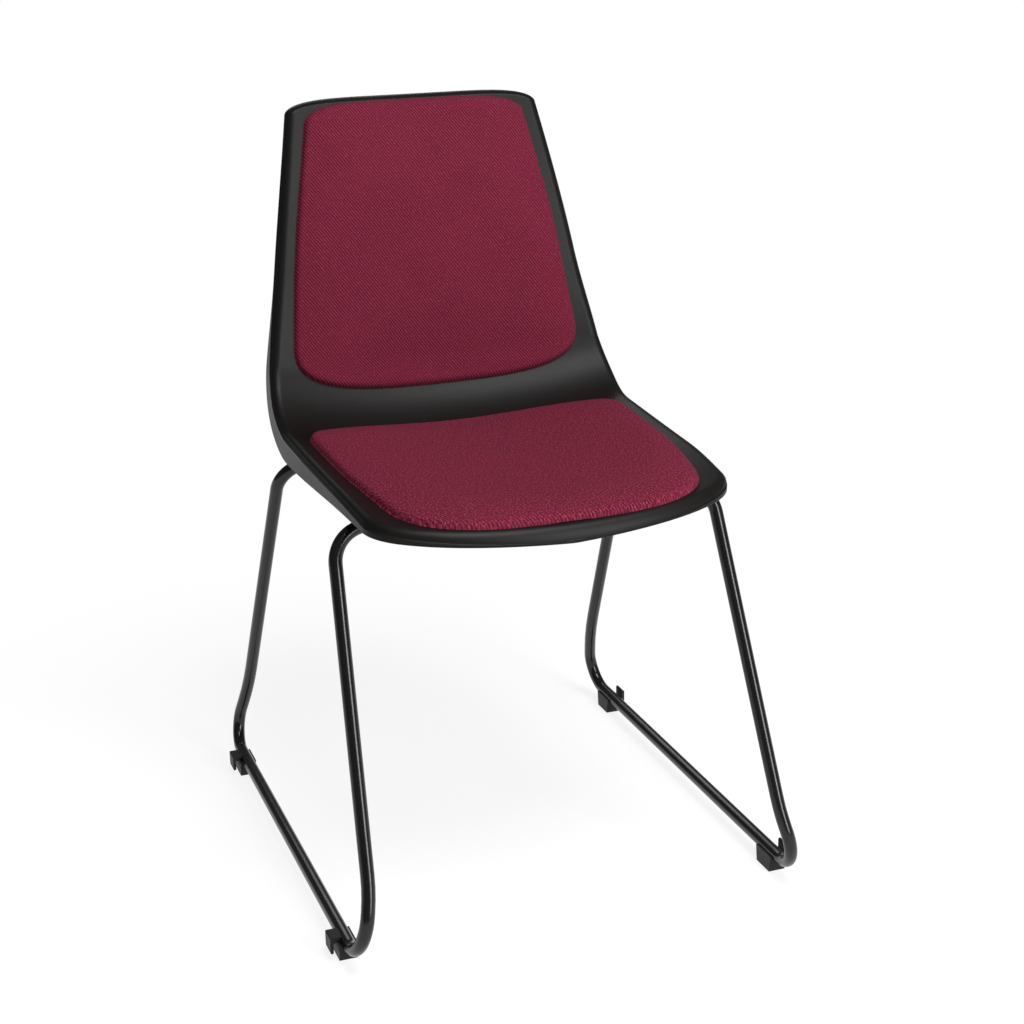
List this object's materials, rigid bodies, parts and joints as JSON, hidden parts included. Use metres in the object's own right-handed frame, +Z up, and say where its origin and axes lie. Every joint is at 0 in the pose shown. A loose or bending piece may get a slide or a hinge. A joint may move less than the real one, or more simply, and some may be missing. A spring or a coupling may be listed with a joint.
{
  "type": "sled base visitor chair",
  "caption": "Visitor chair with a one-piece black moulded shell on a black round-tube sled frame, with burgundy woven pads let into seat and back.",
  "frame": {"origin": "on the floor, under the middle of the chair's outer box", "axes": "+Z up, the sitter faces -Y, +X is the sitter's left"},
  "size_m": [0.5414, 0.5953, 0.8382],
  "materials": {
    "shell_plastic": "fine-textured black polypropylene",
    "pad_fabric": "burgundy twill with a fine two-tone diagonal",
    "pad_foam": "cut polyurethane foam",
    "board_wood": "raw plywood",
    "clip_plastic": "moulded nylon",
    "frame_coating": "semi-gloss black powder coat on steel",
    "bare_steel": "drawn steel",
    "screw_steel": "zinc-plated steel",
    "insert_brass": "turned brass",
    "glide_plastic": "moulded black nylon",
    "wear_pad_plastic": "smooth hard plastic"
  },
  "bodies": {
    "root": {"seat_shell": "shell_plastic", "seat_pad_cover": "pad_fabric", "seat_pad_foam": "pad_foam", "seat_pad_board": "board_wood", "seat_pad_clips": "clip_plastic", "back_pad_cover": "pad_fabric", "back_pad_foam": "pad_foam", "back_pad_board": "board_wood", "back_pad_clips": "clip_plastic", "left_sled_tube": "frame_coating", "right_sled_tube": "frame_coating", "front_joining_sleeve": "bare_steel", "rear_joining_sleeve": "bare_steel", "left_seat_strap": "frame_coating", "right_seat_strap": "frame_coating", "seat_screws": "screw_steel", "seat_washers": "screw_steel", "threaded_inserts": "insert_brass", "front_hook_glide": "glide_plastic", "rear_hook_glide": "glide_plastic", "front_catch_glide": "glide_plastic", "rear_catch_glide": "glide_plastic", "front_hook_wear_pad": "wear_pad_plastic", "rear_hook_wear_pad": "wear_pad_plastic", "front_catch_wear_pad": "wear_pad_plastic", "rear_catch_wear_pad": "wear_pad_plastic", "glide_pins": "screw_steel"}
  },
  "joints": []
}
